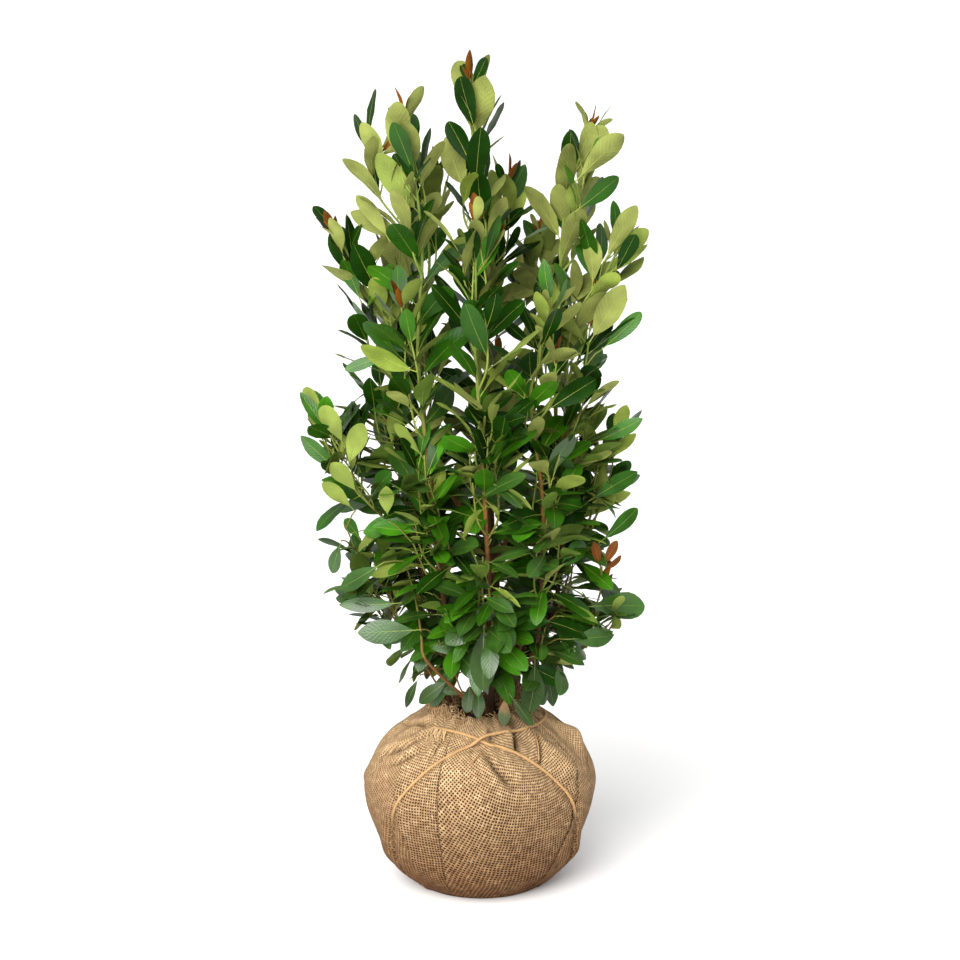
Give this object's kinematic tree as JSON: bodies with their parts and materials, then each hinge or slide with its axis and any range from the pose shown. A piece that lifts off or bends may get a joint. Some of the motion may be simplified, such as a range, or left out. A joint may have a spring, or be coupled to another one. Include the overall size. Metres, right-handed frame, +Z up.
{
  "type": "root-balled laurel sapling",
  "caption": "Upright evergreen laurel sapling with glossy leaves and bronze young tips, its root ball wrapped in hessian and tied with twine.",
  "frame": {"origin": "centre of the root ball's flat underside", "axes": "+Z up along the trunk, -Y towards the plant's front, +X to its right"},
  "size_m": [0.5105, 0.4069, 1.288],
  "materials": {
    "soil": "dark moist crumbly soil",
    "hessian": "coarse open jute weave, tan, dusty with soil",
    "twine": "laid jute twine, hairy, pale tan",
    "bark": "smooth brown bark, greener on young wood",
    "foliage": "leathery leaves, dark gloss above and pale matt green below"
  },
  "bodies": {
    "root": {"bough_back": "bark", "bough_back_left": "bark", "bough_back_right": "bark", "bough_front": "bark", "bough_front_left": "bark", "bough_front_right": "bark", "bough_left": "bark", "bough_right": "bark", "foliage_back_left_low": "foliage", "foliage_back_left_middle": "foliage", "foliage_back_left_top": "foliage", "foliage_back_left_upper": "foliage", "foliage_back_low": "foliage", "foliage_back_middle": "foliage", "foliage_back_right_low": "foliage", "foliage_back_right_middle": "foliage", "foliage_back_right_top": "foliage", "foliage_back_right_upper": "foliage", "foliage_back_top": "foliage", "foliage_centre_top": "foliage", "foliage_front_left_low": "foliage", "foliage_front_left_middle": "foliage", "foliage_front_left_top": "foliage", "foliage_front_left_upper": "foliage", "foliage_front_low": "foliage", "foliage_front_middle": "foliage", "foliage_front_right_low": "foliage", "foliage_front_right_middle": "foliage", "foliage_front_right_upper": "foliage", "foliage_front_top": "foliage", "foliage_left_low": "foliage", "foliage_left_middle": "foliage", "foliage_left_shoulder": "foliage", "foliage_left_skirt": "foliage", "foliage_left_tip": "foliage", "foliage_left_top": "foliage", "foliage_rear_left": "foliage", "foliage_rear_right": "foliage", "foliage_right_low": "foliage", "foliage_right_middle": "foliage", "foliage_right_shoulder": "foliage", "foliage_right_skirt": "foliage", "foliage_right_top": "foliage", "gathered_collar": "hessian", "hessian_wrap": "hessian", "soil_core": "soil", "trunk": "bark", "twine_back_left": "twine", "twine_back_right": "twine", "twine_front_left": "twine", "twine_front_right": "twine", "twine_neck": "twine", "upper_bough_back": "bark", "upper_bough_front": "bark", "upper_bough_left": "bark", "upper_bough_right": "bark"}
  },
  "joints": []
}
